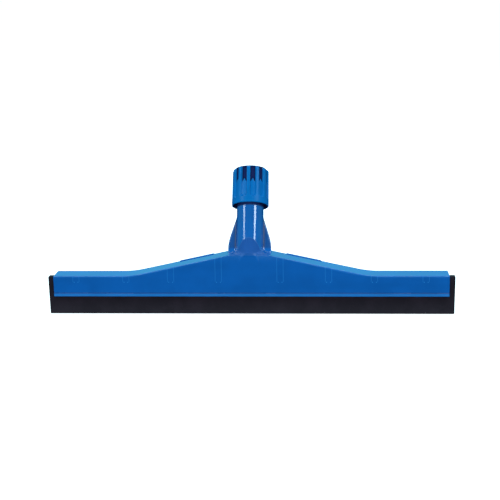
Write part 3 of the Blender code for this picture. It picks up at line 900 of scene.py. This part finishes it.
def moulded_plastic(
    name, colour, edge_colour, roughness, specular, grain=0.5, shaded_recesses=None, marks=None, satin_and_shade=None
):
    """Injection-moulded polypropylene: slight flow streaks, a faint grain and lighter rubbed edges.

    The three functions passed in say where it has painted shade, where painted light makes it paler, and
    where its foot is rougher and darkened with painted shade.
    """
    n = Nodes(name)
    cloud = n.noise(38, 3, 0.55)
    flow = n.noise(22, 2, 0.5, (0.35, 1.2, 2.2))
    shade = n.math("ADD", n.math("MULTIPLY", cloud, 0.5), n.math("MULTIPLY", flow, 0.5))
    darker = tuple(c * 0.93 for c in colour)
    lighter = tuple(c * 1.07 for c in colour)
    base = n.mixed(n.between(shade, 0.35, 0.65, 0, 1), darker, lighter)
    worn = n.math("MULTIPLY", n.edges(), n.between(n.noise(120, 2), 0.35, 0.7, 0.35, 1.0))
    base = n.mixed(worn, base, edge_colour)
    fine = n.noise(900, 2, 0.6)
    rough = n.between(cloud, 0.3, 0.7, roughness - 0.03, roughness + 0.04)
    rough = n.math("ADD", rough, n.math("MULTIPLY", fine, 0.03))
    if shaded_recesses:
        painted_shade_mask = shaded_recesses(n)
        # painted shade: darker colour in hollows, under the collar and in the crease above the lip
        base = n.mixed(painted_shade_mask, base, PAINTED_SHADE)
        rough = n.math("ADD", rough, n.math("MULTIPLY", painted_shade_mask, 0.4))
    if marks:
        # painted light: a paler lip and painted highlights on the rib lines and dots
        base = n.mixed(marks(n), base, PAINTED_LIGHT)
    if satin_and_shade:
        dull_and_shaded = satin_and_shade(n)
        rough = n.math("ADD", rough, n.math("MULTIPLY", dull_and_shaded, 0.9))
        # painted shade: the rougher foot's colour darkened
        base = n.mixed(n.math("MULTIPLY", dull_and_shaded, 0.42), base, FOOT_PAINTED_SHADE)
    n.link(base, n.shader.inputs["Base Color"])
    n.link(rough, n.shader.inputs["Roughness"])
    n.shader.inputs["Specular IOR Level"].default_value = specular
    ripple = n.math("MULTIPLY", n.noise(260, 2), 0.6)
    ripple = n.math("ADD", ripple, n.math("MULTIPLY", n.noise(1500, 2), 0.4))
    n.bump(ripple, grain * 0.12, 0.4 * MM)
    return n.material


def foam_rubber():
    """Closed-cell foam: fine cut pores, colour lighter towards the bottom as painted light from the floor,
    and slightly greyer rubbed edges.
    """
    n = Nodes("foam_rubber_look")
    pores = n.cells(1500)
    coarse = n.cells(620)
    cloud = n.noise(45, 4, 0.6)
    # painted light from the floor: the colour is lighter towards the bottom
    painted_floor_light = n.between(n.coordinate("Z"), 0.0, 18 * MM, 1.0, 0.0)
    low = n.mixed(painted_floor_light, (0.0170, 0.0112, 0.0170), (0.0240, 0.0176, 0.0245))
    high = n.mixed(painted_floor_light, (0.0240, 0.0156, 0.0235), (0.0325, 0.0240, 0.0330))
    base = n.mixed(n.between(cloud, 0.35, 0.7, 0, 1), low, high)
    pit = n.between(pores, 0.0, 0.35, 0.0, 1.0)
    base = n.mixed(pit, (0.006, 0.0055, 0.007), base)
    base = n.mixed(n.math("MULTIPLY", n.edges(), 0.6), base, (0.030, 0.029, 0.031))
    n.link(base, n.shader.inputs["Base Color"])
    n.link(n.between(cloud, 0.3, 0.7, 0.78, 0.92), n.shader.inputs["Roughness"])
    n.shader.inputs["Specular IOR Level"].default_value = 0.12
    height = n.math("ADD", n.math("MULTIPLY", pores, 0.5), n.math("MULTIPLY", coarse, 0.3))
    n.bump(n.math("ADD", height, n.math("MULTIPLY", n.noise(300, 3), 0.4)), 0.35, 0.4 * MM)
    return n.material


BODY_LOOK = moulded_plastic(
    "body_look",
    colour=(0.0060, 0.120, 0.455),
    edge_colour=(0.010, 0.19, 0.56),
    roughness=0.04,
    specular=0.5,
    grain=0.06,
    shaded_recesses=body_painted_shade,
    marks=rib_painted_light,
    satin_and_shade=neck_foot,
)
COLLAR_LOOK = moulded_plastic(
    "collar_look",
    colour=(0.0030, 0.175, 0.52),
    edge_colour=(0.010, 0.25, 0.62),
    roughness=0.30,
    specular=0.05,
    shaded_recesses=collar_painted_shade,
)
SPINE_LOOK = moulded_plastic("spine_look", (0.0030, 0.080, 0.32), (0.010, 0.13, 0.42), 0.40, 0.2)
RING_LOOK = moulded_plastic("ring_look", (0.018, 0.018, 0.020), (0.05, 0.05, 0.052), 0.42, 0.3)
FOAM_LOOK = foam_rubber()


# ---- pieces on the frame ----


def dress(piece, body, look, slot, *nodes):
    piece.data.materials.clear()
    piece.data.materials.append(look)
    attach(piece, body)
    if nodes:
        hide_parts(*nodes)


dress(make_frame_shell(), "head", BODY_LOOK, "body_plastic", "frame", "socket_base", "handle_socket")
dress(snap_ribs(), "head", BODY_LOOK, "body_plastic")
dress(gate_nub(), "head", BODY_LOOK, "body_plastic")
dress(helix("socket_thread", *NECK_THREAD), "head", BODY_LOOK, "body_plastic")
dress(make_rear_shell(), "head", BODY_LOOK, "body_plastic", "rear_clamp_plate")
dress(snap_tongues(), "head", BODY_LOOK, "body_plastic")
for node, middle, top, end_top in (
    ("front_blade_strip", 0.0, BLADE_TOP, END_TOP),
    ("rear_blade_strip", REAR_BLADE_Y, REAR_BLADE_TOP, REAR_BLADE_TOP),
):
    strip = make_strip(node + "_foam", middle, top, end_top)
    dress(strip, "head", FOAM_LOOK, "foam_rubber", node)
dress(make_collar(), "collar", COLLAR_LOOK, "collar_plastic", "locking_collar")
dress(helix("collar_thread", *COLLAR_THREAD), "collar", COLLAR_LOOK, "collar_plastic")
dress(make_grip_ring(), "ring", RING_LOOK, "ring_plastic", "grip_ring")
dress(make_ring_keys(), "ring", RING_LOOK, "ring_plastic")
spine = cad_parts["blade_spine"]
spine.data.materials.clear()
spine.data.materials.append(SPINE_LOOK)


# ---- floor, light and camera ----


def make_floor():
    """A large plain white floor, bright by itself, which throws no light back onto the object."""
    size = 30
    corners = [(-size, -size, 0), (size, -size, 0), (size, size, 0), (-size, size, 0)]
    mesh = bpy.data.meshes.new("floor")
    mesh.from_pydata(corners, [], [(0, 1, 2, 3)])
    floor = bpy.data.objects.new("floor", mesh)
    bpy.context.scene.collection.objects.link(floor)
    n = Nodes("floor_look")
    n.link(n.mixed(n.noise(3, 2), (0.80, 0.80, 0.80), (0.82, 0.82, 0.82)), n.shader.inputs["Base Color"])
    n.shader.inputs["Roughness"].default_value = 0.9
    n.shader.inputs["Specular IOR Level"].default_value = 0.0
    n.shader.inputs["Emission Color"].default_value = (1, 1, 1, 1)
    n.shader.inputs["Emission Strength"].default_value = 0.9
    mesh.materials.append(n.material)
    floor.visible_diffuse = False
    floor.visible_glossy = False


TARGET = Vector((0.69 * MM, 5 * MM, 70.7 * MM))
DISTANCE = 1286 * MM
ELEVATION = math.radians(13.9)
YAW = math.radians(-4.2)
ROLL = math.radians(1.12)
LENS_MM = 83.99

LEVEL = math.cos(ELEVATION)
VIEW = Vector((math.sin(YAW) * LEVEL, math.cos(YAW) * LEVEL, -math.sin(ELEVATION)))


def make_camera():
    right = Vector((math.cos(YAW), -math.sin(YAW), 0))
    up = right.cross(VIEW)
    axes = Matrix((right, up, -VIEW)).transposed().to_4x4()
    data = bpy.data.cameras.new("camera")
    data.lens = LENS_MM
    data.sensor_width = 36
    data.clip_end = 100
    camera = bpy.data.objects.new("camera", data)
    bpy.context.scene.collection.objects.link(camera)
    camera.matrix_world = Matrix.Translation(TARGET - DISTANCE * VIEW) @ axes @ Matrix.Rotation(-ROLL, 4, "Z")
    bpy.context.scene.camera = camera


WHITE = (1, 1, 1)
WORLD_LOW, WORLD_HIGH, WORLD_FRONT = 0.15, 1.0, 0.55
WORLD_TINT = (0.17, 0.78, 0.96)
STRIP_DISTANCE = 1.6
STRIP_TINT = (0.76, 0.92, 0.96)
STRIPS = (  # name, turn round the tube in degrees, width, height, power
    ("strip_left", -24.0, 0.52, 0.8, 14),
    ("strip_right", 27, 0.54, 0.8, 22),
)
STRIP_END = 9 * MM  # place on the tube where the middle of each strip's lower end is mirrored
SOFT_LIGHTS = (  # name, middle, aim, width, height, power, the rays that see it
    ("top_light", (0, 0.9, 1.5), (0, 0, 0.05), 2.2, 0.9, 16, "both"),
    ("front_light", (0, -2.0, 0.5), (0, 0, 0.06), 2.4, 1.0, 30, "diffuse"),
)


def area_light(name, middle, aim, width, height, power, colour, seen_by):
    data = bpy.data.lights.new(name, "AREA")
    data.shape = "RECTANGLE"
    data.size, data.size_y = width, height
    data.energy = power
    data.color = colour
    made = bpy.data.objects.new(name, data)
    bpy.context.scene.collection.objects.link(made)
    made.location = middle
    made.rotation_euler = (Vector(aim) - Vector(middle)).to_track_quat("-Z", "Y").to_euler()
    made.visible_camera = False
    made.visible_diffuse = seen_by != "gloss"
    made.visible_glossy = seen_by != "diffuse"


def mirrored_from_tube(turn, place):
    """A point on the tube, that far round from its front, and the direction that it mirrors to the camera."""
    around = Vector((math.sin(turn), -math.cos(turn), 0))
    point = NECK @ (around * NECK_RADIUS + Vector((0, 0, place)))
    normal = NECK.to_3x3() @ around
    to_camera = (TARGET - DISTANCE * VIEW - point).normalized()
    return point, 2 * normal.dot(to_camera) * normal - to_camera


def make_world():
    """A dim bluish room to reflect, brighter behind and above, but white where the camera itself sees it."""
    world = bpy.data.worlds.new("studio")
    bpy.context.scene.world = world
    world.use_nodes = True
    tree = world.node_tree
    background = tree.nodes["Background"]

    def add(kind, **values):
        node = tree.nodes.new(kind)
        for key, value in values.items():
            node.inputs[key.replace("_", " ")].default_value = value
        return node

    place = add("ShaderNodeTexCoord")
    split = add("ShaderNodeSeparateXYZ")
    tree.links.new(place.outputs["Generated"], split.inputs[0])
    rise = add("ShaderNodeMapRange", From_Min=-0.05, From_Max=0.08, To_Min=WORLD_LOW, To_Max=WORLD_HIGH)
    tree.links.new(split.outputs["Z"], rise.inputs["Value"])
    depth = add("ShaderNodeMapRange", From_Min=-0.6, From_Max=0.7, To_Min=WORLD_FRONT, To_Max=1.0)
    tree.links.new(split.outputs["Y"], depth.inputs["Value"])
    both = add("ShaderNodeMath")
    both.operation = "MULTIPLY"
    tree.links.new(rise.outputs[0], both.inputs[0])
    tree.links.new(depth.outputs[0], both.inputs[1])
    tint = add("ShaderNodeMix")
    tint.data_type = "RGBA"
    tint.blend_type = "MULTIPLY"
    tint.inputs["Factor"].default_value = 1
    tint.inputs[6].default_value = (*WORLD_TINT, 1)
    tree.links.new(both.outputs[0], tint.inputs[7])
    seen = add("ShaderNodeLightPath")
    shown = add("ShaderNodeMix")
    shown.data_type = "RGBA"
    shown.inputs[7].default_value = (*WHITE, 1)
    tree.links.new(seen.outputs["Is Camera Ray"], shown.inputs["Factor"])
    tree.links.new(tint.outputs[2], shown.inputs[6])
    tree.links.new(shown.outputs[2], background.inputs["Color"])
    background.inputs["Strength"].default_value = 1


def make_lights():
    for name, turn, width, height, power in STRIPS:
        point, direction = mirrored_from_tube(math.radians(turn), STRIP_END)
        above = (Vector((0, 0, 1)) - direction * direction.z).normalized()
        middle = point + direction * STRIP_DISTANCE + above * height / 2
        area_light(name, middle, middle - direction, width, height, power, STRIP_TINT, "gloss")
    for name, middle, aim, width, height, power, seen_by in SOFT_LIGHTS:
        area_light(name, middle, aim, width, height, power, WHITE, seen_by)


make_floor()
make_camera()
make_world()
make_lights()
bpy.context.scene.view_settings.view_transform = "Standard"
